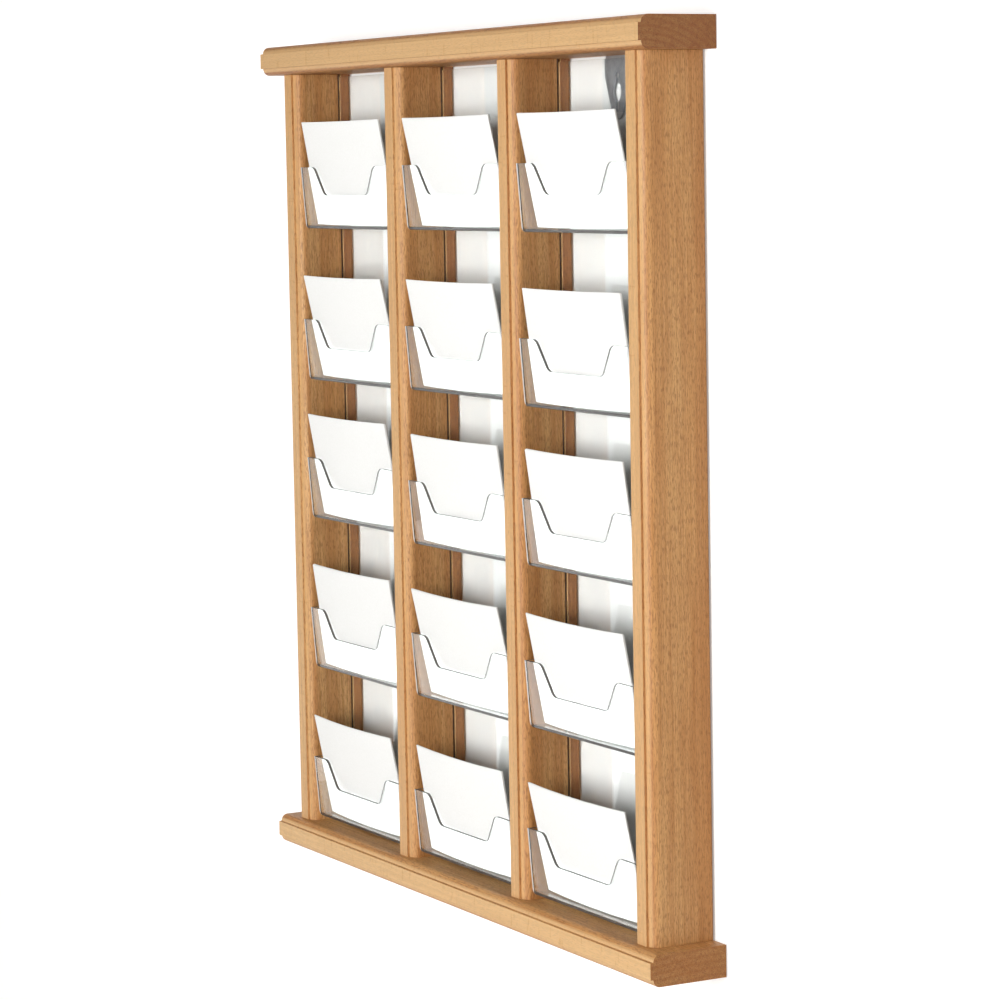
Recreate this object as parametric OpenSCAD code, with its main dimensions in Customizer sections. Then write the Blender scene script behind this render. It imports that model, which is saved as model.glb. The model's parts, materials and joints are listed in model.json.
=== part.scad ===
// Wall-hung index card rack: a wooden frame of two rails and four uprights, clear back sheets in
// grooves, and clear pockets bonded to the sheets, each with a small pack of cards.
// Units are millimetres. X runs along the rails, +Y points into the wall, +Z points up.
// The origin is the middle of the back of the top rail, on the wall.

/* [Cards] */
// Width of a card
card_w = 127; // [74:0.5:160]
// Height of a card
card_h = 76.2; // [50:0.1:105]
// Thickness of the pack in a pocket
pack_t = 1.2; // [0.4:0.1:4]
// How far the middle of a card bows forward
card_bow = 2.6; // [0:0.1:4]
// Angle at which most cards lean forward
card_lean = 10.5; // [5:0.5:16]

/* [Frame] */
// Room beside a card in its column, on each side
card_side_room = 7.6; // [5:0.1:14]
// Width of an upright
upright_w = 24; // [18:0.5:32]
// Depth of an upright from the wall
upright_d = 46.3; // [40:0.1:70]
// Step between an upright's front strip and its quarter-round
upright_step = 1.8; // [0.3:0.1:3]
// Radius of the quarter-rounds on the uprights
upright_round = 6.2; // [2:0.1:8]
// Thickness of a rail
rail_t = 21; // [16:0.5:30]
// Depth of a rail from the wall
rail_d = 55.9; // [50:0.1:80]
// Step between a rail's front strip and its quarter-rounds
rail_step = 2.1; // [0.3:0.1:4]
// Length of a rail beyond the outer uprights, at each end
rail_overhang = 14.3; // [4:0.1:30]
// Radius of the quarter-rounds on the rails
rail_round = 5.05; // [2:0.05:7]
// Radius on the back corners of an upright
back_r = 2; // [0.5:0.1:3]

/* [Rows] */
// Room above a card's height, up to the next pocket floor
row_room = 34.6; // [25:0.1:70]
// Height of the lowest row's floor above the bottom rail
floor_rise = 5.9; // [3:0.1:15]
// Room above a card's height in the top row, up to the top rail
top_room = 34.3; // [25:0.1:70]

/* [Back sheets] */
// Thickness of a back sheet
sheet_t = 1.5; // [1:0.1:3]
// Depth of the grooves that hold the sheets
groove_depth = 4; // [2:0.1:6]
// Clearance of a sheet in its groove, on each face
sheet_gap = 0.2; // [0.1:0.05:0.5]
// Wood between the grooves and the wall
groove_back = 7.9; // [5:0.1:12]
// Gap between a sheet and the top rail
sheet_top_gap = 2.1; // [0.5:0.1:5]

/* [Pockets] */
// Distance from the wall to a pocket's front at its floor
pocket_front = 39.7; // [30:0.1:60]
// Height of a pocket's lip above its floor
lip_h = 43; // [30:0.5:60]
// Thickness of the pocket walls
wall = 2; // [1:0.1:3]
// Angle at which a pocket's front leans forward
front_lean = 4.5; // [0:0.5:9]
// Radius on a pocket's lower corners, outside
pocket_r = 4; // [2:0.1:8]
// Radius on a pocket's lower corners, inside
pocket_fillet = 1; // [0.3:0.1:1.5]
// Gap between a pocket and the uprights, on each side
pocket_gap = 0.35; // [0.2:0.05:1]
// Half of the width of the finger scoop at the lip
scoop_top = 49; // [30:0.5:55]
// Half of the width of the finger scoop at its bottom
scoop_bottom = 35; // [15:0.5:45]
// Depth of the finger scoop below the lip
scoop_depth = 20.5; // [8:0.5:30]
// Radius on the corners of the scoop
scoop_r = 5; // [2:0.5:8]

/* [Hangers] */
// Distance of a hanger from the middle of the rack
hanger_x = 159; // [120:0.5:200]
// Width of a hanger plate
plate_w = 31; // [26:0.5:40]
// Thickness of a hanger plate
plate_t = 1.5; // [1:0.1:2.5]
// Length of a hanger plate below the top rail
plate_drop = 41; // [38:0.5:60]
// Length of a hanger plate behind the top rail
plate_rise = 15; // [12:0.5:17]
// Gap between a hanger plate and the wall
plate_back = 0.3; // [0.1:0.1:1]
// Radius of the seat for the wall screw
seat_r = 2.3; // [1.8:0.1:3]
// Width of the neck between the seat and the entry
neck_w = 2.6; // [2:0.1:3.2]

/* [Joints] */
// Radius of the dowels
dowel_r = 4; // [3:0.5:5]
// Depth of a dowel in a rail
dowel_in_rail = 13; // [8:0.5:14]
// Depth of a dowel in an upright
dowel_in_upright = 17; // [10:0.5:30]
// Smallest gap between a card pack and the pocket that holds it
card_gap = 0.5; // [0.3:0.1:1]

/* [Hidden] */
$fn = 96;
cut = 1;
columns = 3;
rows = 5;
// The pockets were bonded by hand and the cards put in by hand, so each column lists, from the top row down,
// how far a pocket sits above its row and how much more its cards lean.
pocket_shift = [[-1, -2.5, 5, 3, 0.5], [-0.5, -2, 0, 2.5, 1], [-0.5, -4.5, 0.5, 3, 0.5]];
more_lean = [[-0.5, 1.5, -0.5, -2.5, 0.5], [1.5, 0, -2.5, 1.5, -1.5], [1.5, -2.5, -2.5, 0.5, 1.5]];
column_clear = card_w + 2 * card_side_room;
column_pitch = column_clear + upright_w;
frame_w = columns * column_pitch + upright_w;
rail_l = frame_w + 2 * rail_overhang;
row_pitch = card_h + row_room;
opening_h = floor_rise + (rows - 1) * row_pitch + card_h + top_room;
under_top = -rail_t / 2;
over_bottom = under_top - opening_h;
groove_w = sheet_t + 2 * sheet_gap;
sheet_front = groove_back + sheet_gap + sheet_t;
sheet_w = column_clear + 2 * groove_depth - 1;
sheet_h = opening_h - sheet_top_gap;
pocket_w = column_clear - 2 * pocket_gap;
// The card packs stand as far forward as the lips allow.
lip_inside = pocket_front + lip_h * tan(front_lean) - wall / cos(front_lean);
bow_at_lip = card_bow * max(0, 1 - pow(2 * scoop_top / card_w, 2));
flat_r = 100000;
bow_r = card_bow > 0 ? pow(card_w, 2) / (8 * card_bow) + card_bow / 2 : flat_r;
// Sizes of a hanger plate's cut-out, measured down from the rail.
seat_drop = 12.7;
entry_drop = 23.3;
entry_half_h = 7;
entry_half_w = 5;
tail_w = 3.2;
tail_drop = 35.4;
shoulder_drop = 12.8;
nose_r = 7.6;
screw_x = 9.5;
screw_rise = 8;
screw_r = 1.5;
screw_head_r = 3;
screw_l = 14;
screw_tip = 2;
drive_l = 3;
drive_w = 0.6;
drive_d = 0.8;
recess = plate_back + plate_t;
dowel_front = 34;
dowel_back = 17;
beech = [0.80, 0.62, 0.42];
clear = [0.88, 0.93, 0.94, 0.35];
steel = [0.55, 0.56, 0.58];
paper = [0.97, 0.97, 0.96];

function upright_x(i) = (i - columns / 2) * column_pitch;
function column_x(c) = (c - (columns - 1) / 2) * column_pitch;
// Rows count down from the top, as the node names do.
function floor_z(c, r) = over_bottom + floor_rise + (rows - r) * row_pitch + pocket_shift[c][r - 1];
function lean(c, r) = card_lean + more_lean[c][r - 1];
function card_foot(angle) = lip_inside - card_gap - bow_at_lip / cos(angle) - lip_h * tan(angle);
function card_lift(angle) = card_gap + card_bow * sin(angle);

// Section of a rail: 2-D x is depth, 2-D y is height.
module rail_section() {
  flat = rail_d - rail_step - rail_round;
  half = rail_t / 2;
  translate([-flat, -half]) square([flat, rail_t]);
  translate([-rail_d, -(half - rail_round)]) square([rail_d - flat + cut, rail_t - 2 * rail_round]);
  for (side = [-1, 1]) translate([-flat, side * (half - rail_round)]) circle(rail_round);
}

module rail() {
  translate([-rail_l / 2, 0, 0]) rotate([90, 0, 90]) linear_extrude(rail_l) rail_section();
}

// Dowel positions at one end of the uprights.
module at_dowels() {
  for (i = [0:columns], y = [dowel_front, dowel_back]) translate([upright_x(i), -y, 0]) children();
}

module at_hangers() {
  for (side = [-1, 1]) translate([side * hanger_x, 0, under_top]) children();
}

module at_hanger_screws() {
  at_hangers() for (side = [-1, 1]) translate([side * screw_x, -plate_back, screw_rise]) children();
}

module top_rail() {
  color(beech) difference() {
    rail();
    at_dowels() translate([0, 0, under_top - cut]) cylinder(r = dowel_r, h = dowel_in_rail + cut);
    at_hangers() translate([-plate_w / 2, -recess, -cut]) cube([plate_w, recess + cut, plate_rise + cut]);
    at_hanger_screws() screw();
  }
}

module bottom_rail() {
  color(beech) difference() {
    translate([0, 0, over_bottom - rail_t / 2]) rail();
    at_dowels() translate([0, 0, over_bottom - dowel_in_rail])
      cylinder(r = dowel_r, h = dowel_in_rail + cut);
  }
}

// Section of an upright, with a groove on each side named in the list.
module upright_section(grooves) {
  half = upright_w / 2;
  strip = half - upright_round;
  shoulder = upright_d - upright_step - upright_round;
  difference() {
    union() {
      translate([-half, -shoulder]) square([upright_w, shoulder]);
      translate([-strip, -upright_d]) square([2 * strip, upright_d - shoulder + cut]);
      for (side = [-1, 1]) translate([side * strip, -shoulder]) circle(upright_round);
    }
    for (side = [-1, 1]) translate([side * (half - back_r), -back_r]) difference() {
      translate([side > 0 ? 0 : -back_r - cut, 0]) square(back_r + cut);
      circle(back_r);
    }
    for (side = grooves)
      translate([side > 0 ? half - groove_depth : -half - cut, -groove_back - groove_w])
      square([groove_depth + cut, groove_w]);
  }
}

module upright(i, grooves) {
  color(beech) difference() {
    translate([upright_x(i), 0, over_bottom]) linear_extrude(opening_h) upright_section(grooves);
    at_dowels() for (z = [under_top - dowel_in_upright, over_bottom - cut]) translate([0, 0, z])
      cylinder(r = dowel_r, h = dowel_in_upright + cut);
  }
}

module sheet(c) {
  color(clear) translate([column_x(c) - sheet_w / 2, -sheet_front, over_bottom])
    cube([sheet_w, sheet_t, sheet_h]);
}

// Front view of a pocket, inset from its outside: 2-D y = 0 is the top of the floor, and the lower corners
// are round.
module pocket_view(inset, r) {
  half = pocket_w / 2 - inset;
  low = inset - wall;
  translate([-half, low + r]) square([2 * half, 2 * lip_h]);
  translate([-half + r, low]) square([2 * (half - r), r + cut]);
  for (side = [-1, 1]) translate([side * (half - r), low + r]) circle(r);
}

// The view drawn through the rack, and kept behind the leaning front.
module behind_front(inset, r) {
  intersection() {
    rotate([90, 0, 0]) linear_extrude(2 * pocket_front) pocket_view(inset, r);
    translate([0, -pocket_front, 0]) rotate([front_lean, 0, 0])
      translate([-column_clear / 2, inset, -lip_h]) cube([column_clear, 2 * pocket_front, 4 * lip_h]);
  }
}

// Corner piece of the scoop: the kite between a corner and its rounding, less the rounding.
module corner_piece(corner, side, turn) {
  slant = atan2(scoop_top - scoop_bottom, scoop_depth);
  reach = scoop_r * tan((90 - slant) / 2);
  level = corner + [-side * turn * reach, 0];
  centre = level + [0, turn * scoop_r];
  sloped = corner + turn * reach * [side * sin(slant), cos(slant)];
  difference() {
    polygon([corner, level, centre, sloped]);
    translate(centre) circle(scoop_r);
  }
}

// Outline of the finger scoop: 2-D y = 0 is the lip.
module scoop_section() {
  difference() {
    union() {
      polygon([[-scoop_bottom, -scoop_depth], [scoop_bottom, -scoop_depth],
        [scoop_top, 0], [-scoop_top, 0]]);
      translate([-scoop_top, 0]) square([2 * scoop_top, lip_h / 4]);
      for (side = [-1, 1]) corner_piece([side * scoop_top, 0], side, -1);
    }
    for (side = [-1, 1]) corner_piece([side * scoop_bottom, -scoop_depth], side, 1);
  }
}

module pocket(c, r) {
  color(clear) translate([column_x(c), 0, floor_z(c, r)]) difference() {
    intersection() {
      behind_front(0, pocket_r);
      translate([-column_clear / 2, -2 * pocket_front, -wall])
        cube([column_clear, 2 * pocket_front - sheet_front, lip_h + wall]);
    }
    behind_front(wall, pocket_fillet);
    translate([0, -pocket_front, 0]) rotate([front_lean, 0, 0])
      translate([0, 2 * wall + pocket_r, lip_h / cos(front_lean)]) rotate([90, 0, 0])
      linear_extrude(4 * wall + 2 * pocket_r) scoop_section();
  }
}

// Section of a card pack: an arc that bows to the front, with its edges at 2-D y = 0.
module pack_section() {
  intersection() {
    translate([0, bow_r - card_bow]) difference() {
      circle(bow_r, $fn = 360);
      circle(bow_r - pack_t, $fn = 360);
    }
    translate([-card_w / 2, -2 * card_bow]) square([card_w, 3 * card_bow + 2 * pack_t]);
  }
}

module cards(c, r) {
  angle = lean(c, r);
  color(paper) translate([column_x(c), -card_foot(angle), floor_z(c, r) + card_lift(angle)])
    rotate([angle, 0, 0]) linear_extrude(card_h) pack_section();
}

// Outline of a hanger plate: 2-D y = 0 is the underside of the top rail.
module plate_section() {
  half = plate_w / 2;
  corner = [half, -shoulder_drop];
  nose = [0, -(plate_drop - nose_r)];
  away = norm(corner - nose);
  bearing = atan2(corner[1] - nose[1], corner[0] - nose[0]);
  turn = bearing - acos(nose_r / away);
  touch = nose + nose_r * [cos(turn), sin(turn)];
  difference() {
    union() {
      polygon([[-half, plate_rise], [-half, -shoulder_drop], [-touch[0], touch[1]], nose, touch, corner,
        [half, plate_rise]]);
      translate(nose) circle(nose_r);
    }
    keyhole_section();
  }
}

// Cut-out of a hanger plate: a round seat, a neck, a lens-shaped entry and a tail.
module keyhole_section() {
  lens_r = (pow(entry_half_h, 2) + pow(entry_half_w, 2)) / (2 * entry_half_w);
  translate([0, -seat_drop]) circle(seat_r);
  translate([-neck_w / 2, -entry_drop]) square([neck_w, entry_drop - seat_drop]);
  translate([0, -entry_drop]) intersection() {
    translate([lens_r - entry_half_w, 0]) circle(lens_r);
    translate([entry_half_w - lens_r, 0]) circle(lens_r);
  }
  translate([-tail_w / 2, -tail_drop + tail_w / 2]) square([tail_w, tail_drop - entry_drop]);
  translate([0, -tail_drop + tail_w / 2]) circle(tail_w / 2);
}

module hanger(side) {
  color(steel) difference() {
    translate([side * hanger_x, -plate_back, under_top]) rotate([90, 0, 0])
      linear_extrude(plate_t) plate_section();
    at_hanger_screws() screw();
  }
}

// Countersunk screw, pointing to the front, with its head flush at the origin.
module screw() {
  sink = screw_head_r - screw_r;
  rotate([90, 0, 0]) {
    cylinder(r1 = screw_head_r, r2 = screw_r, h = sink);
    cylinder(r = screw_r, h = screw_l - screw_tip);
    translate([0, 0, screw_l - screw_tip]) cylinder(r1 = screw_r, r2 = screw_r / 5, h = screw_tip);
  }
}

module hanger_screws() {
  color(steel) at_hanger_screws() difference() {
    screw();
    for (turn = [0, 90]) rotate([0, turn, 0]) translate([-drive_l / 2, -drive_d, -drive_w / 2])
      cube([drive_l, drive_d + cut, drive_w]);
  }
}

module joint_dowels() {
  color(beech) at_dowels() {
    for (z = [under_top - dowel_in_upright, over_bottom - dowel_in_rail]) translate([0, 0, z])
      cylinder(r = dowel_r, h = dowel_in_upright + dowel_in_rail);
  }
}

top_rail();
bottom_rail();
upright(0, [1]);  // left_upright
upright(1, [-1, 1]);  // left_divider
upright(2, [-1, 1]);  // right_divider
upright(3, [-1]);  // right_upright
sheet(0);  // left_sheet
sheet(1);  // middle_sheet
sheet(2);  // right_sheet
pocket(0, 1);  // pocket_left_1
pocket(0, 2);  // pocket_left_2
pocket(0, 3);  // pocket_left_3
pocket(0, 4);  // pocket_left_4
pocket(0, 5);  // pocket_left_5
pocket(1, 1);  // pocket_middle_1
pocket(1, 2);  // pocket_middle_2
pocket(1, 3);  // pocket_middle_3
pocket(1, 4);  // pocket_middle_4
pocket(1, 5);  // pocket_middle_5
pocket(2, 1);  // pocket_right_1
pocket(2, 2);  // pocket_right_2
pocket(2, 3);  // pocket_right_3
pocket(2, 4);  // pocket_right_4
pocket(2, 5);  // pocket_right_5
cards(0, 1);  // cards_left_1
cards(0, 2);  // cards_left_2
cards(0, 3);  // cards_left_3
cards(0, 4);  // cards_left_4
cards(0, 5);  // cards_left_5
cards(1, 1);  // cards_middle_1
cards(1, 2);  // cards_middle_2
cards(1, 3);  // cards_middle_3
cards(1, 4);  // cards_middle_4
cards(1, 5);  // cards_middle_5
cards(2, 1);  // cards_right_1
cards(2, 2);  // cards_right_2
cards(2, 3);  // cards_right_3
cards(2, 4);  // cards_right_4
cards(2, 5);  // cards_right_5
hanger(-1);  // left_hanger
hanger(1);  // right_hanger
hanger_screws();
joint_dowels();
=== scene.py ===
"""Looks of a wall-hung index card rack: beech frame, clear acrylic back sheets and pockets, packs of
white cards and two zinc-plated hanger plates. Metres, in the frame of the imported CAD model: X runs along
the rails, +Y points into the wall and +Z points up."""

import json
import math

import bpy
from mathutils import Matrix, Vector


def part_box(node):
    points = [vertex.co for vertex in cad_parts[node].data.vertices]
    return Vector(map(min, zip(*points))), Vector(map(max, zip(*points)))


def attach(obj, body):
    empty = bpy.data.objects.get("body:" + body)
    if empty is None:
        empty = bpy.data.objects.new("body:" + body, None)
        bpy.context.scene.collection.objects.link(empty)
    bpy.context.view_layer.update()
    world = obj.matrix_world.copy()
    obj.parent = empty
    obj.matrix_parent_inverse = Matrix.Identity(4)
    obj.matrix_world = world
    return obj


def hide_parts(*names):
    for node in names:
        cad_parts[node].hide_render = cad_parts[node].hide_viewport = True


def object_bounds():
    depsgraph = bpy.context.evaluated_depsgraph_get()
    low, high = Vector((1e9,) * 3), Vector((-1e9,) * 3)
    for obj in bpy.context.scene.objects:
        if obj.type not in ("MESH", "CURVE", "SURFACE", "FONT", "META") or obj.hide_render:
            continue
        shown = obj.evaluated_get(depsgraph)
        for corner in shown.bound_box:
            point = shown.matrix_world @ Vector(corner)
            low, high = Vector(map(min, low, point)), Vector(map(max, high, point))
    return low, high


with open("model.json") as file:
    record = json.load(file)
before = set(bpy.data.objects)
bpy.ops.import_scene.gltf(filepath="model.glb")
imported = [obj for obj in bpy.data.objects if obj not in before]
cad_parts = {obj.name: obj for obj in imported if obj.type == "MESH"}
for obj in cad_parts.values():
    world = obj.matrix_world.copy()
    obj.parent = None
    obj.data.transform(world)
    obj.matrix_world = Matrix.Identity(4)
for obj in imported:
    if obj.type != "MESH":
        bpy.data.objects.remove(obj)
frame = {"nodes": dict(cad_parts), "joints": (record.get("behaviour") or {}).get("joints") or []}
size_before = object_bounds()

MM = 0.001
COLUMNS = ("left", "middle", "right")
ROWS = (1, 2, 3, 4, 5)

# Sizes that the pieces share with the CAD model
POCKET_WALL = 2 * MM
POCKET_LEAN = math.radians(4.5)
POCKET_CORNER = 4 * MM
SCOOP_TOP = 49 * MM
SCOOP_BOTTOM = 35 * MM
SCOOP_DEPTH = 20.5 * MM
SCOOP_CORNER = 5 * MM
CARD_WIDTH = 127 * MM
CARD_HEIGHT = 76.2 * MM
CARD_BOW = 2.6 * MM
PACK_DEPTH = 1.2 * MM

# Sizes that only the looks have
WOOD_ARRIS = 0.4 * MM
SHEET_ARRIS = 0.15 * MM
POCKET_ARRIS = 0.45 * MM
PLATE_ARRIS = 0.2 * MM
POCKET_OUTLINE = 0.5 * MM  # round on the outline of a pocket's front
POCKET_FILLET = 0.6 * MM  # round inside, where the front meets the other walls
SCOOP_BEVEL = SCOOP_CORNER * 0.7  # offset that gives a bevel the scoop's round
BOND_LINE = 0.08 * MM  # between a pocket and its sheet
EDGE_GLOW = 1.9 * MM  # painted highlight strip at both sides of a pocket's front
GROOVE_LINE = 1.6 * MM  # painted shade: a dark line at the mouth of a sheet's groove
OUTER_SKIN = 10 * MM  # outer wood of the side uprights, which the grooves don't reach
WALL_GAP = 0.9 * MM  # between the rack and the wall
CARDS_IN_PACK = 5
CARD_THICKNESS = 0.2 * MM
CARD_PLAY = 0.3 * MM  # how far a card can be out of line

# How meshes are worked
WELD = 0.001 * MM  # points nearer than this are one
ON_PLANE = 0.02 * MM  # points nearer than this to a plane lie on it
SHARP_OVER = math.radians(35)
SMOOTH_UNDER = math.radians(32)

# A pocket's material slots
CLEAR, SAWN_AND_SHADE, JOINT_SHADE, EDGE_HIGHLIGHT = range(4)

# The studio
RACK_MIDDLE = Vector((0, 0, -0.29))
WALL_SIZE = 8
FLOOR_HEIGHT = -1.1
FLOOR_DEPTH = 6
WALL_GLOW = 0.56
ROOM_LIGHT = 0.1


def linear(code, alpha=1.0):
    """A colour written as sRGB hex, as the shader wants it."""
    parts = [int(code[i : i + 2], 16) / 255 for i in (0, 2, 4)]
    return tuple(p / 12.92 if p <= 0.04045 else ((p + 0.055) / 1.055) ** 2.4 for p in parts) + (alpha,)


def add(tree, kind, inputs=None, **settings):
    """Adds a node with its settings; an input is a value or another node's output."""
    made = tree.nodes.new(kind)
    for name, value in settings.items():
        setattr(made, name, value)
    for name, value in (inputs or {}).items():
        if isinstance(value, bpy.types.NodeSocket):
            tree.links.new(value, made.inputs[name])
        else:
            made.inputs[name].default_value = value
    return made


def new_material(name):
    """An empty material, and the node tree to fill."""
    material = bpy.data.materials.new(name)
    material.use_nodes = True
    material.node_tree.nodes.clear()
    return material, material.node_tree


def blend(tree, amount, first, second, mode="MIX"):
    """A colour between two others."""
    mix = add(tree, "ShaderNodeMix", data_type="RGBA", blend_type=mode)
    for socket, value in ((mix.inputs[0], amount), (mix.inputs[6], first), (mix.inputs[7], second)):
        if isinstance(value, bpy.types.NodeSocket):
            tree.links.new(value, socket)
        else:
            socket.default_value = value
    return mix.outputs[2]


def ramp(tree, value, low, high, to_low=0.0, to_high=1.0):
    """A smooth step of a value from one range to another."""
    made = add(tree, "ShaderNodeMapRange", {"Value": value, "From Min": low, "From Max": high,
                                            "To Min": to_low, "To Max": to_high},
               interpolation_type="SMOOTHSTEP")
    return made.outputs["Result"]


def shaded_groove(tree, place, wood):
    """A dark line at the mouth of a sheet's groove, and darker wood behind the sheet. On the real rack both are
    shade; they are drawn into the wood, because the lamps here reach further in."""
    sheet_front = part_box("middle_sheet")[0].y
    outer_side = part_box("right_upright")[1].x
    apart = add(tree, "ShaderNodeSeparateXYZ", {"Vector": place.outputs["Object"]}).outputs
    from_line = ramp(tree, apart["Y"], sheet_front - GROOVE_LINE, sheet_front - 0.6 * GROOVE_LINE)
    past_line = ramp(tree, apart["Y"], sheet_front - 0.2 * GROOVE_LINE, sheet_front)
    dark = blend(tree, past_line, linear("3C1E12"), linear("AC9684"))
    from_middle = add(tree, "ShaderNodeMath", {0: apart["X"]}, operation="ABSOLUTE").outputs[0]
    within = ramp(tree, from_middle, outer_side - OUTER_SKIN, outer_side - 0.9 * OUTER_SKIN, 1, 0)
    sideways = add(tree, "ShaderNodeSeparateXYZ", {"Vector": place.outputs["Normal"]}).outputs["X"]
    sideways = add(tree, "ShaderNodeMath", {0: sideways}, operation="ABSOLUTE").outputs[0]
    amount = add(tree, "ShaderNodeMath", {0: from_line, 1: within}, operation="MULTIPLY").outputs[0]
    amount = add(tree, "ShaderNodeMath", {0: amount, 1: ramp(tree, sideways, 0.5, 0.9)}, operation="MULTIPLY")
    return blend(tree, amount.outputs[0], wood, dark, "MULTIPLY")


def beech(name, along, cut_from, tone_of_board="FFFFFF"):
    """Steamed European beech, planed, sanded and given a thin satin lacquer. It shows a warm tan with soft growth
    rings a few millimetres apart, and the short dark flecks of its rays along the grain; sawn ends drink the
    lacquer and go darker. Each board is cut from its own place in the tree."""
    material, tree = new_material(name)
    place = add(tree, "ShaderNodeTexCoord")
    turn = (0, math.pi / 2, 0) if along == "Z" else (0, 0, 0)
    board = add(tree, "ShaderNodeMapping", {"Vector": place.outputs["Object"], "Rotation": turn})
    board = add(tree, "ShaderNodeMapping", {"Vector": board.outputs[0], "Location": cut_from}).outputs[0]

    # Growth rings about 4.5 mm apart, wandering slowly along the board
    drawn = add(tree, "ShaderNodeMapping", {"Vector": board, "Scale": (0.06, 1, 1)}).outputs[0]
    rings = add(tree, "ShaderNodeTexWave", {"Vector": drawn, "Scale": 70, "Distortion": 5, "Detail": 2,
                                            "Detail Scale": 0.35}, wave_type="RINGS", rings_direction="X")
    # Fibres about 0.7 mm wide and 60 mm long, and tone that changes over some centimetres
    fibre_space = add(tree, "ShaderNodeMapping", {"Vector": board, "Scale": (16, 1400, 1400)}).outputs[0]
    fibres = add(tree, "ShaderNodeTexNoise", {"Vector": fibre_space, "Scale": 1, "Detail": 3, "Roughness": 0.6})
    tone_space = add(tree, "ShaderNodeMapping", {"Vector": board, "Scale": (4, 40, 40)}).outputs[0]
    tone = add(tree, "ShaderNodeTexNoise", {"Vector": tone_space, "Scale": 1, "Detail": 2})
    # Ray flecks about 4 mm long and 0.7 mm wide, and pores half that size between them
    fleck_space = add(tree, "ShaderNodeMapping", {"Vector": board, "Scale": (230, 1500, 1500)}).outputs[0]
    flecks = add(tree, "ShaderNodeTexNoise", {"Vector": fleck_space, "Scale": 1, "Detail": 1, "Roughness": 0.5})
    fleck = ramp(tree, flecks.outputs[0], 0.52, 0.64)
    pore_space = add(tree, "ShaderNodeMapping", {"Vector": board, "Scale": (260, 2600, 2600)}).outputs[0]
    pores = add(tree, "ShaderNodeTexNoise", {"Vector": pore_space, "Scale": 1, "Detail": 1})
    # Streaks about 2.5 mm wide and 90 mm long
    streak_space = add(tree, "ShaderNodeMapping", {"Vector": board, "Scale": (11, 380, 380)}).outputs[0]
    streaks = add(tree, "ShaderNodeTexNoise", {"Vector": streak_space, "Scale": 1, "Detail": 2})

    early = blend(tree, ramp(tree, tone.outputs[0], 0.3, 0.7), linear("D39A5C"), linear("DDAC70"))
    wood = blend(tree, ramp(tree, rings.outputs["Fac"], 0.35, 1, 0, 0.45), early, linear("BA7A3E"))
    wood = blend(tree, ramp(tree, fibres.outputs[0], 0.3, 0.75, 0, 0.5), wood, linear("AD6E34"))
    wood = blend(tree, ramp(tree, streaks.outputs[0], 0.4, 0.75, 0, 0.45), wood, linear("AA6A30"))
    wood = blend(tree, ramp(tree, pores.outputs[0], 0.5, 0.75, 0, 0.45), wood, linear("945D2A"))
    wood = blend(tree, ramp(tree, fleck, 0, 1, 0, 0.5), wood, linear("895326"))
    wood = blend(tree, 1.0, wood, linear(tone_of_board), "MULTIPLY")
    # The boards are quarter-sawn: the front shows the rays side-on, as ticks across the grain. The front faces
    # are also made paler, which is painted sheen where they face the lamps.
    tick_space = add(tree, "ShaderNodeMapping", {"Vector": board, "Scale": (450, 80, 80)}).outputs[0]
    ticks = add(tree, "ShaderNodeTexNoise", {"Vector": tick_space, "Scale": 1, "Detail": 1})
    rays_and_front_sheen = blend(tree, ramp(tree, ticks.outputs[0], 0.65, 0.74, 0, 0.45), linear("EBC690"), linear("CA985C"))
    to_front = add(tree, "ShaderNodeVectorMath", {0: place.outputs["Normal"], 1: (0, -1, 0)},
                   operation="DOT_PRODUCT").outputs["Value"]
    most = 0.6 if along == "X" else 0.4
    wood = blend(tree, ramp(tree, to_front, 0.75, 0.98, 0, most), wood, rays_and_front_sheen)
    if along == "Z":
        wood = shaded_groove(tree, place, wood)
    # Sawn ends: the face looks along the grain
    axis = (0, 0, 1) if along == "Z" else (1, 0, 0)
    facing = add(tree, "ShaderNodeVectorMath", {0: place.outputs["Normal"], 1: axis}, operation="DOT_PRODUCT")
    across = add(tree, "ShaderNodeMath", {0: facing.outputs["Value"]}, operation="ABSOLUTE")
    sawn = ramp(tree, across.outputs[0], 0.6, 0.9)
    wood = blend(tree, ramp(tree, sawn, 0, 1, 0, 0.7), wood, linear("CCB384"), "MULTIPLY")

    relief = add(tree, "ShaderNodeMath", {0: fibres.outputs[0], 1: fleck}, operation="SUBTRACT")
    bump = add(tree, "ShaderNodeBump", {"Height": relief.outputs[0], "Strength": 0.7, "Distance": 0.12 * MM})
    shader = add(tree, "ShaderNodeBsdfPrincipled", {
        "Base Color": wood, "Roughness": ramp(tree, fibres.outputs[0], 0.2, 0.8, 0.45, 0.6), "IOR": 1.5,
        "Specular IOR Level": 0.45, "Coat Weight": 0.06, "Coat Roughness": 0.3, "Normal": bump.outputs[0]})
    add(tree, "ShaderNodeOutputMaterial", {"Surface": shader.outputs[0]})
    return material


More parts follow.
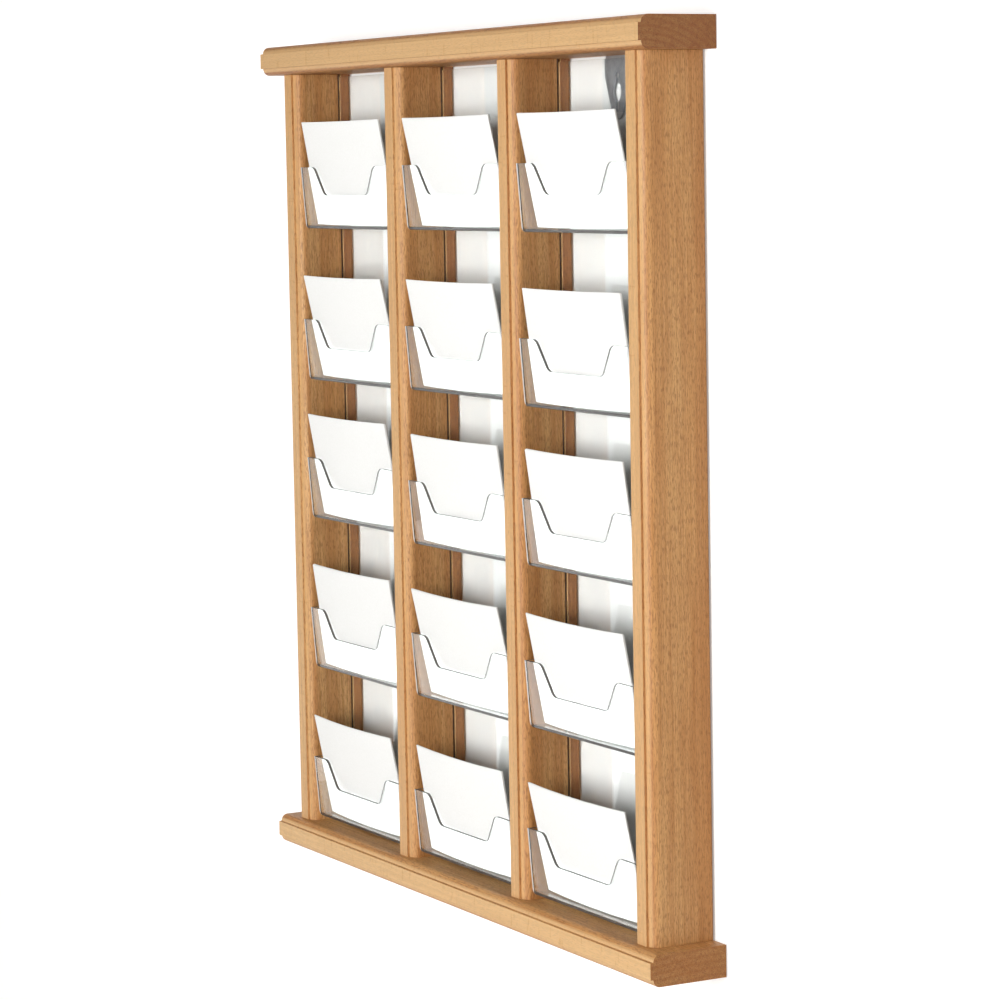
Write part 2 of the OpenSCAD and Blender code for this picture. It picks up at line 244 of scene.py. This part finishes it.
def acrylic(name, tint, dull=0.0, clear=1.0):
    """Cast acrylic. It is water-clear with bright and dark lines at the edges, smooth as glass apart from a
    faint haze of handling, and it takes little from light that passes; a sawn edge is duller and greyer, and
    its dark grey is painted shade, for the light that is lost in the length of the wall."""
    material, tree = new_material(name)
    place = add(tree, "ShaderNodeTexCoord").outputs["Object"]
    haze = add(tree, "ShaderNodeTexNoise", {"Vector": place, "Scale": 45, "Detail": 4, "Roughness": 0.6})
    handled = blend(tree, 0.03, tint, linear("B8BCBE"))
    body = blend(tree, ramp(tree, haze.outputs[0], 0.4, 0.75), tint, handled)
    sag = add(tree, "ShaderNodeTexNoise", {"Vector": place, "Scale": 14, "Detail": 1})
    bump = add(tree, "ShaderNodeBump", {"Height": sag.outputs[0], "Strength": 0.03, "Distance": 0.1 * MM})
    shader = add(tree, "ShaderNodeBsdfPrincipled", {
        "Base Color": body, "Roughness": dull, "IOR": 1.49, "Transmission Weight": clear,
        "Normal": bump.outputs[0]})
    passing = add(tree, "ShaderNodeBsdfTransparent", {"Color": tint})
    path = add(tree, "ShaderNodeLightPath")
    look = add(tree, "ShaderNodeMixShader", {0: path.outputs["Is Shadow Ray"], 1: shader.outputs[0],
                                             2: passing.outputs[0]})
    add(tree, "ShaderNodeOutputMaterial", {"Surface": look.outputs[0]})
    return material


def card_stock(name):
    """Smooth white index card, pressed from wood pulp. It is matt, a little warm, with a faint cloud of
    fibres."""
    material, tree = new_material(name)
    place = add(tree, "ShaderNodeTexCoord").outputs["Object"]
    cloud = add(tree, "ShaderNodeTexNoise", {"Vector": place, "Scale": 900, "Detail": 3, "Roughness": 0.7})
    paper = blend(tree, ramp(tree, cloud.outputs[0], 0.3, 0.7), linear("F5F5F2"), linear("FAFAF8"))
    bump = add(tree, "ShaderNodeBump", {"Height": cloud.outputs[0], "Strength": 0.15, "Distance": 0.02 * MM})
    shader = add(tree, "ShaderNodeBsdfPrincipled", {
        "Base Color": paper, "Roughness": ramp(tree, cloud.outputs[0], 0.3, 0.7, 0.75, 0.88), "IOR": 1.45,
        "Specular IOR Level": 0.3, "Normal": bump.outputs[0]})
    add(tree, "ShaderNodeOutputMaterial", {"Surface": shader.outputs[0]})
    return material


def zinc_steel(name):
    """Stamped steel with a dull zinc plating. It shows a mid grey, with a cloudy change of shine where the
    bath took hold and fine scratches from the tumbler."""
    material, tree = new_material(name)
    place = add(tree, "ShaderNodeTexCoord").outputs["Object"]
    cloud = add(tree, "ShaderNodeTexNoise", {"Vector": place, "Scale": 260, "Detail": 4, "Roughness": 0.6})
    drawn = add(tree, "ShaderNodeMapping", {"Vector": place, "Scale": (300, 300, 4000)}).outputs[0]
    scratches = add(tree, "ShaderNodeTexNoise", {"Vector": drawn, "Scale": 1, "Detail": 2})
    metal = blend(tree, ramp(tree, cloud.outputs[0], 0.3, 0.7), linear("989A9E"), linear("ABADB0"))
    bump = add(tree, "ShaderNodeBump", {"Height": scratches.outputs[0], "Strength": 0.1, "Distance": 0.01 * MM})
    shader = add(tree, "ShaderNodeBsdfPrincipled", {
        "Base Color": metal, "Metallic": 0.85, "Normal": bump.outputs[0],
        "Roughness": ramp(tree, cloud.outputs[0], 0.25, 0.75, 0.36, 0.52)})
    add(tree, "ShaderNodeOutputMaterial", {"Surface": shader.outputs[0]})
    return material


def edit(piece):
    """Goes into edit mode on one piece, with nothing selected in it."""
    if bpy.context.object and bpy.context.object.mode == "EDIT":
        bpy.ops.object.mode_set(mode="OBJECT")
    bpy.ops.object.select_all(action="DESELECT")
    bpy.context.view_layer.objects.active = piece
    piece.select_set(True)
    bpy.ops.object.mode_set(mode="EDIT")
    bpy.ops.mesh.select_mode(type="VERT")
    bpy.ops.mesh.select_all(action="DESELECT")


def leave():
    """Goes back to object mode."""
    bpy.ops.object.mode_set(mode="OBJECT")


def pick(piece, kind, wanted):
    """Selects the vertices, edges or faces of a piece whose test says so, back in edit mode."""
    edit(piece)
    bpy.ops.mesh.select_mode(type={"vertices": "VERT", "edges": "EDGE", "polygons": "FACE"}[kind])
    leave()
    points = piece.data.vertices
    for part in getattr(piece.data, kind):
        if kind == "vertices":
            part.select = wanted(part.co)
        elif kind == "edges":
            part.select = wanted(*[points[i].co for i in part.vertices])
        else:
            part.select = wanted(part.center, part.normal)
    bpy.ops.object.mode_set(mode="EDIT")


def block(name, low, high):
    """A box between two corners, its object at the origin, to be worked on."""
    low, high = Vector(low), Vector(high)
    bpy.ops.object.select_all(action="DESELECT")
    bpy.ops.mesh.primitive_cube_add(size=1, location=(low + high) / 2, scale=high - low)
    piece = bpy.context.object
    piece.name = piece.data.name = name
    bpy.ops.object.transform_apply(location=True, rotation=False, scale=True)
    return piece


def apply_modifier(piece, kind, **settings):
    """Adds a modifier with its settings and makes it part of the mesh."""
    modifier = piece.modifiers.new(kind.lower(), kind)
    for name, value in settings.items():
        setattr(modifier, name, value)
    bpy.ops.object.select_all(action="DESELECT")
    bpy.context.view_layer.objects.active = piece
    piece.select_set(True)
    bpy.ops.object.modifier_apply(modifier=modifier.name)


def ease_edges(piece, width):
    """Takes the sharpness off every hard edge."""
    edit(piece)
    bpy.ops.mesh.select_mode(type="EDGE")
    bpy.ops.mesh.edges_select_sharp(sharpness=SHARP_OVER)
    bpy.ops.mesh.bevel(offset=width, segments=2, affect="EDGES", clamp_overlap=True)
    bpy.ops.mesh.select_all(action="SELECT")
    bpy.ops.mesh.normals_make_consistent(inside=False)
    leave()
    bpy.ops.object.shade_smooth_by_angle(angle=SMOOTH_UNDER)
    apply_modifier(piece, "WEIGHTED_NORMAL", keep_sharp=True)


def worked_copy(node, name, width):
    """A copy of a CAD node with its loose triangles joined into whole faces and its edges eased."""
    piece = bpy.data.objects.new(name, frame["nodes"][node].data.copy())
    piece.data.name = name
    bpy.context.scene.collection.objects.link(piece)
    edit(piece)
    bpy.ops.mesh.select_all(action="SELECT")
    bpy.ops.mesh.remove_doubles(threshold=WELD)
    bpy.ops.mesh.dissolve_limited(angle_limit=math.radians(0.3))
    leave()
    ease_edges(piece, width)
    return piece


def finish_piece(piece, material, body, slot, *nodes):
    """Gives a piece its material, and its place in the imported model."""
    piece.data.materials.clear()
    piece.data.materials.append(material)
    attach(piece, body)
    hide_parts(*nodes)


def twin(piece, name, move):
    """A copy with its own mesh, moved by its vertices."""
    made = piece.copy()
    made.data = piece.data.copy()
    made.name = made.data.name = name
    made.data.transform(Matrix.Translation(move))
    bpy.context.scene.collection.objects.link(made)
    return made


def wooden_frame():
    """Two rails and four uprights, each with its own board of beech."""
    boards = (("top_rail", "X", (0.31, 0.052, 0.071), "E3DAD2"),
              ("bottom_rail", "X", (1.27, 0.063, -0.044), "FFFFFF"),
              ("left_upright", "Z", (0.83, -0.058, 0.049), "FFFFFF"),
              ("left_divider", "Z", (2.11, 0.047, 0.066), "FFFCFA"),
              ("right_divider", "Z", (3.42, 0.069, -0.041), "FFFBF8"),
              ("right_upright", "Z", (4.73, 0.034, 0.078), "FFFFFF"))
    for node, along, cut_from, tone in boards:
        piece = worked_copy(node, node + "_beech", WOOD_ARRIS)
        finish_piece(piece, beech(node + "_lacquered_beech", along, cut_from, tone), "rack", "beech", node)
    pegs = beech("fluted_dowel_beech", "Z", (5.6, 0.02, 0.03))
    dowels = frame["nodes"]["joint_dowels"]
    dowels.data.materials.clear()
    dowels.data.materials.append(pegs)


def clear_sheets(material):
    """The back sheet of each column, with its edges eased."""
    for column in COLUMNS:
        node = column + "_sheet"
        piece = worked_copy(node, node + "_acrylic", SHEET_ARRIS)
        finish_piece(piece, material, "rack", "clear_sheet", node)


def behind_front(point, low, high):
    """How far a point lies behind the plane of a pocket's leaning front."""
    return point.y - low.y - (high.z - point.z) * math.tan(POCKET_LEAN)


def pocket_shell(low, high):
    """A box with a leaning front and round lower corners, hollowed to an even wall and trimmed at the lip and the
    back."""
    spare = 3 * POCKET_WALL
    lean = math.tan(POCKET_LEAN)
    middle_y = (low.y + high.y) / 2
    piece = block("pocket", (low.x, low.y - spare * lean, low.z), (high.x, high.y + spare, high.z + spare))
    pick(piece, "vertices", lambda p: p.y < middle_y and p.z < high.z)
    bpy.ops.transform.translate(value=(0, (high.z + spare - low.z) * lean, 0))
    pick(piece, "edges", lambda a, b: max(a.z, b.z) < low.z + MM and abs(a.x - b.x) < MM)
    bpy.ops.mesh.bevel(offset=POCKET_CORNER, segments=8, affect="EDGES")
    pick(piece, "polygons", lambda centre, normal: normal.z > 0.9 or normal.y > 0.9)
    bpy.ops.mesh.delete(type="FACE")
    leave()
    apply_modifier(piece, "SOLIDIFY", thickness=POCKET_WALL, offset=-1, use_even_offset=True)
    for point, normal in (((0, 0, high.z), (0, 0, 1)), ((0, high.y - BOND_LINE, 0), (0, 1, 0))):
        edit(piece)
        bpy.ops.mesh.select_all(action="SELECT")
        bpy.ops.mesh.bisect(plane_co=point, plane_no=normal, use_fill=True, clear_outer=True)
        leave()
    # The front's outline is rounded, and so is the corner inside it.
    inner_face = POCKET_WALL / math.cos(POCKET_LEAN)
    for depth, radius in ((0, POCKET_OUTLINE), (inner_face, POCKET_FILLET)):
        pick(piece, "edges", lambda a, b: min(a.z, b.z) < high.z - MM
             and all(abs(behind_front(p, low, high) - depth) < ON_PLANE for p in (a, b)))
        bpy.ops.mesh.bevel(offset=radius, segments=3, affect="EDGES")
        leave()
    return piece


def cut_scoop(piece, low, high):
    """Cuts the finger scoop out of a pocket's front, and rounds the lip where it turns down into the scoop."""
    middle = (low.x + high.x) / 2
    spare = 3 * POCKET_WALL
    scoop = block("scoop", (middle - SCOOP_TOP, low.y - spare, high.z - SCOOP_DEPTH),
                  (middle + SCOOP_TOP, low.y + spare, high.z + spare))
    pick(scoop, "vertices", lambda p: p.z < high.z)
    bpy.ops.transform.resize(value=(SCOOP_BOTTOM / SCOOP_TOP, 1, 1), center_override=(middle, 0, 0))
    # The slope meets the lip at its own place, so the top is drawn out along the slope.
    pick(scoop, "vertices", lambda p: p.z > high.z)
    drawn = SCOOP_TOP + (SCOOP_TOP - SCOOP_BOTTOM) * spare / SCOOP_DEPTH
    bpy.ops.transform.resize(value=(drawn / SCOOP_TOP, 1, 1), center_override=(middle, 0, 0))
    pick(scoop, "edges", lambda a, b: max(a.z, b.z) < high.z - MM and abs(a.y - b.y) > MM)
    bpy.ops.mesh.bevel(offset=SCOOP_BEVEL, segments=6, affect="EDGES")
    leave()
    apply_modifier(piece, "BOOLEAN", operation="DIFFERENCE", solver="EXACT", object=scoop)
    bpy.data.objects.remove(scoop)
    pick(piece, "edges", lambda a, b: min(a.z, b.z) > high.z - 0.2 * MM and abs(a.y - b.y) > MM
         and all(abs(abs(p.x - middle) - SCOOP_TOP) < MM for p in (a, b)))
    bpy.ops.mesh.bevel(offset=SCOOP_BEVEL, segments=6, affect="EDGES")
    leave()


def use_slot(piece, number):
    """Gives the selected faces one of the piece's materials."""
    piece.active_material_index = number
    bpy.ops.object.material_slot_assign()
    leave()


def mark_edges(piece, low, high):
    """Sorts the faces of a pocket into its material slots."""
    middle = (low.x + high.x) / 2
    half = (high.x - low.x) / 2
    inner_face = POCKET_WALL / math.cos(POCKET_LEAN)
    for _ in (CLEAR, SAWN_AND_SHADE, JOINT_SHADE, EDGE_HIGHLIGHT):
        piece.data.materials.append(None)
    # The lip and the scoop are sawn, and their dark grey is partly painted shade; the lower front corners get the
    # same dark as painted shade, for the light that their rounding turns away.
    pick(piece, "polygons", lambda centre, normal: (
        centre.z > high.z - SCOOP_DEPTH - MM
        and (normal.z > 0.4 or abs(normal.y) < 0.97 and abs(centre.x - middle) < half - 2 * POCKET_WALL)
        or centre.z < low.z + POCKET_CORNER and 0.2 < abs(normal.y) < 0.97
        and behind_front(centre, low, high) < 2 * inner_face))
    use_slot(piece, SAWN_AND_SHADE)
    # The front is cemented to the floor; its lowest strip, where one looks into the floor's edge, is painted dark
    # as shade.
    pick(piece, "polygons", lambda centre, normal: (
        centre.z < low.z + POCKET_WALL and normal.y < -0.3
        and behind_front(centre, low, high) < POCKET_OUTLINE
        and abs(centre.x - middle) < half - POCKET_CORNER))
    use_slot(piece, JOINT_SHADE)
    # The side walls gather light and send it out at the sides of the front; the paler, less clear strip there is
    # a painted highlight.
    pick(piece, "polygons", lambda centre, normal: (
        normal.y < -0.3 and behind_front(centre, low, high) < POCKET_OUTLINE and (
            abs(centre.x - middle) > half - EDGE_GLOW
            or abs(normal.x) > 0.15 and abs(centre.x - middle) > half - POCKET_CORNER)))
    use_slot(piece, EDGE_HIGHLIGHT)


def clear_pocket(node):
    """A pocket as it is made: formed, cut out for the fingers, and eased at its edges."""
    low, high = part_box(node)
    piece = pocket_shell(low, high)
    cut_scoop(piece, low, high)
    edit(piece)
    bpy.ops.mesh.select_all(action="SELECT")
    bpy.ops.mesh.remove_doubles(threshold=WELD)
    bpy.ops.mesh.dissolve_limited(angle_limit=math.radians(0.2))
    # Lines across the faces, for the materials to end at: the top of the floor, and the painted highlight strips.
    for point, normal in (((0, 0, low.z + POCKET_WALL), (0, 0, 1)), ((low.x + EDGE_GLOW, 0, 0), (1, 0, 0)),
                          ((high.x - EDGE_GLOW, 0, 0), (1, 0, 0))):
        bpy.ops.mesh.select_all(action="SELECT")
        bpy.ops.mesh.bisect(plane_co=point, plane_no=normal)
    leave()
    ease_edges(piece, POCKET_ARRIS)
    mark_edges(piece, low, high)
    return piece


def clear_pockets(*materials):
    """One pocket, copied to the fifteen places; the materials come in the order of its slots."""
    first = "pocket_middle_3"
    model = clear_pocket(first)
    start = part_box(first)[0]
    for column in COLUMNS:
        for row in ROWS:
            node = f"pocket_{column}_{row}"
            piece = twin(model, node + "_acrylic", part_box(node)[0] - start)
            for number, material in enumerate(materials):
                piece.data.materials[number] = material
            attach(piece, "rack")
            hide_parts(node)
    bpy.data.objects.remove(model)


def bowed_card():
    """One card, standing at the origin with its side edges at y = 0 and its middle bowed to the front."""
    width = CARD_WIDTH - 2 * CARD_PLAY
    height = CARD_HEIGHT - 2 * CARD_PLAY
    radius = CARD_WIDTH**2 / (8 * CARD_BOW) + CARD_BOW / 2
    half = math.asin(width / 2 / radius)
    centre_y = radius - CARD_BOW
    bpy.ops.object.select_all(action="DESELECT")
    bpy.ops.mesh.primitive_plane_add(size=height, rotation=(0, math.pi / 2, 0), location=(0, 0, height / 2))
    piece = bpy.context.object
    piece.name = piece.data.name = "card"
    bpy.ops.object.transform_apply(location=True, rotation=True, scale=True)
    # Only one upright edge stays, and it sweeps round to make the card.
    pick(piece, "vertices", lambda p: p.y > 0)
    bpy.ops.mesh.delete(type="VERT")
    bpy.ops.mesh.select_all(action="SELECT")
    side_y = centre_y - radius * math.cos(half)
    bpy.ops.transform.translate(value=(width / 2, height / 2 + side_y, 0))
    bpy.ops.mesh.spin(steps=28, angle=2 * half, center=(0, centre_y, 0), axis=(0, 0, 1))
    leave()
    edit(piece)
    bpy.ops.mesh.select_all(action="SELECT")
    bpy.ops.mesh.normals_make_consistent(inside=False)
    leave()
    apply_modifier(piece, "SOLIDIFY", thickness=CARD_THICKNESS, offset=0, use_even_offset=True)
    bpy.ops.object.shade_smooth_by_angle(angle=SMOOTH_UNDER)
    return piece


def card_packs(material):
    """Every pocket holds five cards, a hair out of line with each other, that lean on the lip."""
    model = bowed_card()
    leans = {j["child"]: math.atan2(-j["axis"][1], j["axis"][2]) for j in frame["joints"]}
    step = (PACK_DEPTH - CARD_THICKNESS) / (CARDS_IN_PACK - 1)
    for column_number, column in enumerate(COLUMNS):
        for row in ROWS:
            node = f"cards_{column}_{row}"
            low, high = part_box(node)
            lean = leans[node]
            foot = Vector(((low.x + high.x) / 2, high.y - PACK_DEPTH * math.cos(lean),
                           low.z + CARD_BOW * math.sin(lean)))
            stand = Matrix.Translation(foot) @ Matrix.Rotation(lean, 4, "X")
            for number in range(CARDS_IN_PACK):
                # Another turn for each card, and the same ones each time
                turn = number * 2.4 + row * 1.3 + column_number * 0.7
                out_of_line = Vector((CARD_PLAY * math.sin(turn), CARD_THICKNESS / 2 + number * step,
                                      CARD_PLAY * (1 + math.cos(1.7 * turn))))
                card = twin(model, f"{node}_card_{number + 1}", (0, 0, 0))
                card.data.transform(stand @ Matrix.Translation(out_of_line))
                card.data.materials.clear()
                card.data.materials.append(material)
                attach(card, node)
                if number == 0:
                    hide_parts(node)
    bpy.data.objects.remove(model)


def hangers(material):
    """The two hanger plates, with their edges eased, and their screws."""
    for node in ("left_hanger", "right_hanger"):
        piece = worked_copy(node, node + "_plate", PLATE_ARRIS)
        finish_piece(piece, material, "rack", "hanger_steel", node)
    screws = frame["nodes"]["hanger_screws"]
    screws.data.materials.clear()
    screws.data.materials.append(material)


def white_plaster(name):
    """Painted plaster, matt and nearly white, with a slow change of tone. It is seen brighter away from the rack
    than behind it, and shows from the front alone. Light that leaves the back of the rack passes it, so that
    the back can be looked at."""
    material, tree = new_material(name)
    path = add(tree, "ShaderNodeLightPath").outputs
    place = add(tree, "ShaderNodeTexCoord").outputs["Object"]
    cloud = add(tree, "ShaderNodeTexNoise", {"Vector": place, "Scale": 3, "Detail": 2})
    paint = blend(tree, ramp(tree, cloud.outputs[0], 0.3, 0.7), linear("D4D2CF"), linear("D8D6D3"))
    matt = add(tree, "ShaderNodeBsdfDiffuse", {"Color": paint})

    # How far a place on the wall lies outside the rack
    (left, _, bottom), (right, _, top) = size_before
    from_middle = add(tree, "ShaderNodeVectorMath", {
        0: add(tree, "ShaderNodeVectorMath", {0: place, 1: ((left + right) / 2, 0, (bottom + top) / 2)},
               operation="SUBTRACT").outputs[0]}, operation="ABSOLUTE").outputs[0]
    beyond = add(tree, "ShaderNodeVectorMath", {0: from_middle, 1: ((right - left) / 2, 0, (top - bottom) / 2)},
                 operation="SUBTRACT").outputs[0]
    beyond = add(tree, "ShaderNodeSeparateXYZ", {"Vector": beyond}).outputs
    beyond = add(tree, "ShaderNodeMath", {0: beyond["X"], 1: beyond["Z"]}, operation="MAXIMUM").outputs[0]

    # The glow is seen, also in reflections and through the clear pieces, but lights nothing.
    seen = add(tree, "ShaderNodeMath", {0: path["Is Camera Ray"], 1: path["Is Glossy Ray"]}, operation="ADD")
    seen = add(tree, "ShaderNodeMath", {0: seen.outputs[0], 1: path["Is Transmission Ray"]}, operation="ADD",
               use_clamp=True).outputs[0]
    away = ramp(tree, beyond, -26 * MM, -6 * MM, 0.0, WALL_GLOW)
    away = add(tree, "ShaderNodeMath", {0: away, 1: seen}, operation="MULTIPLY").outputs[0]
    glow = add(tree, "ShaderNodeEmission", {"Color": linear("FFFFFF"), "Strength": away})
    lit = add(tree, "ShaderNodeAddShader", {0: matt.outputs[0], 1: glow.outputs[0]})

    # A ray that has come only as far as the gap started on the back of the rack, and passes.
    far = add(tree, "ShaderNodeMath", {0: path["Ray Length"], 1: 3 * WALL_GAP},
              operation="GREATER_THAN").outputs[0]
    stops = add(tree, "ShaderNodeMath", {0: seen, 1: far}, operation="MAXIMUM")
    front = add(tree, "ShaderNodeMath", {0: 1.0, 1: add(tree, "ShaderNodeNewGeometry").outputs["Backfacing"]},
                operation="SUBTRACT")
    shown = add(tree, "ShaderNodeMath", {0: stops.outputs[0], 1: front.outputs[0]}, operation="MULTIPLY",
                use_clamp=True)
    clear = add(tree, "ShaderNodeBsdfTransparent")
    look = add(tree, "ShaderNodeMixShader", {0: shown.outputs[0], 1: clear.outputs[0], 2: lit.outputs[0]})
    add(tree, "ShaderNodeOutputMaterial", {"Surface": look.outputs[0]})
    return material


def stage():
    """A white wall behind the rack, and a floor far below it."""
    bpy.ops.object.select_all(action="DESELECT")
    bpy.ops.mesh.primitive_plane_add(size=WALL_SIZE, location=(0, WALL_GAP, FLOOR_HEIGHT + WALL_SIZE / 2),
                                     rotation=(math.pi / 2, 0, 0))
    wall = bpy.context.object
    wall.name = wall.data.name = "wall_and_floor"
    bpy.ops.object.transform_apply(location=True, rotation=True, scale=True)
    pick(wall, "edges", lambda a, b: max(a.z, b.z) < 0)
    bpy.ops.mesh.extrude_edges_move(TRANSFORM_OT_translate={"value": (0, -FLOOR_DEPTH, 0)})
    bpy.ops.mesh.select_all(action="SELECT")
    bpy.ops.mesh.normals_make_consistent(inside=False)
    leave()
    # The wall's front is the side that the rack hangs on.
    if wall.data.polygons[0].normal.y > 0:
        edit(wall)
        bpy.ops.mesh.select_all(action="SELECT")
        bpy.ops.mesh.flip_normals()
        leave()
    wall.data.materials.append(white_plaster("white_plaster"))


def lamp(name, place, size, watts):
    """A soft box that looks at the middle of the rack."""
    light = bpy.data.lights.new(name, "AREA")
    light.shape = "RECTANGLE"
    light.size, light.size_y = size
    light.energy = watts
    made = bpy.data.objects.new(name, light)
    made.location = place
    made.rotation_euler = (RACK_MIDDLE - Vector(place)).to_track_quat("-Z", "Y").to_euler()
    bpy.context.scene.collection.objects.link(made)


def studio():
    """The lamps and the room, each lamp with its place, its size and its power in watts."""
    # Ahead of the rack, so that the cards shade the wall behind them
    lamp("key", (0.85, -2.42, -0.15), (1, 1), 55)
    # Shows as a pale reflection in the fronts of the pockets
    lamp("left_card", (-2.35, -0.95, -0.66), (1.7, 1.15), 5.6)
    # Lights the right side without reaching the wall behind the cards
    lamp("side_fill", (2.75, -0.4, -0.2), (1, 1), 6.6)
    lamp("top_fill", (0.3, -1.2, 2.2), (1, 1), 6.5)
    # Behind the wall, which lets it through to the back of the rack
    lamp("back_fill", (-1.3, 2.0, 0.7), (1.2, 1.2), 18)
    world = bpy.data.worlds.new("room")
    bpy.context.scene.world = world
    world.use_nodes = True
    # The room is dim, but a camera that looks past the wall sees a white backdrop.
    seen = add(world.node_tree, "ShaderNodeLightPath").outputs["Is Camera Ray"]
    room = world.node_tree.nodes["Background"].inputs
    room["Color"].default_value = linear("FFFFFF")
    world.node_tree.links.new(ramp(world.node_tree, seen, 0, 1, ROOM_LIGHT, 1.0), room["Strength"])
    bpy.context.scene.view_settings.view_transform = "Standard"
    # Light goes to and fro many times inside a clear wall before it leaves at an edge.
    bpy.context.scene.cycles.max_bounces = 40
    bpy.context.scene.cycles.transmission_bounces = 40
    bpy.context.scene.cycles.glossy_bounces = 12
    bpy.context.scene.cycles.diffuse_bounces = 2


def photo_camera():
    """The camera of the photograph, solved from the frame's edges, with its picture a thousand units wide."""
    focal, picture, sensor = 3404.2, 1000, 36
    place = (2.0627, -1.1195, -0.0767)
    yaw, pitch, roll = math.radians(61.677), math.radians(5.689), math.radians(-1.013)
    ahead = Vector((-math.sin(yaw) * math.cos(pitch), math.cos(yaw) * math.cos(pitch), -math.sin(pitch)))
    right = Vector((math.cos(yaw), math.sin(yaw), 0))
    up = right.cross(ahead)
    level_right = right * math.cos(roll) + up * math.sin(roll)
    level_up = up * math.cos(roll) - right * math.sin(roll)
    data = bpy.data.cameras.new("photo")
    data.sensor_width = sensor
    data.lens = sensor * focal / picture
    data.clip_end = 50
    made = bpy.data.objects.new("photo", data)
    turn = Matrix((level_right, level_up, -ahead)).transposed().to_4x4()
    made.matrix_world = Matrix.Translation(place) @ turn
    bpy.context.scene.collection.objects.link(made)
    bpy.context.scene.camera = made


photo_camera()
wooden_frame()
clear_sheets(acrylic("clear_cast_acrylic_sheet", linear("F8FAFA")))
clear_pockets(acrylic("clear_formed_acrylic_pocket", linear("F7FAFA")),
              # dark grey of the sawn edges and lower front corners: partly painted shade
              acrylic("sawn_acrylic_edge_and_painted_shade", linear("585452"), 0.5, 0.18),
              # painted shade: the dark strip where a pocket's front meets its floor
              acrylic("acrylic_joint_painted_shade", linear("5A5654"), 0.1, 0.5),
              # painted highlight: the pale strips at the sides of a pocket's front
              acrylic("acrylic_edge_painted_highlight", linear("F4F6F6"), 0.12, 0.3))
card_packs(card_stock("white_index_card"))
hangers(zinc_steel("dull_zinc_plated_steel"))
stage()
studio()
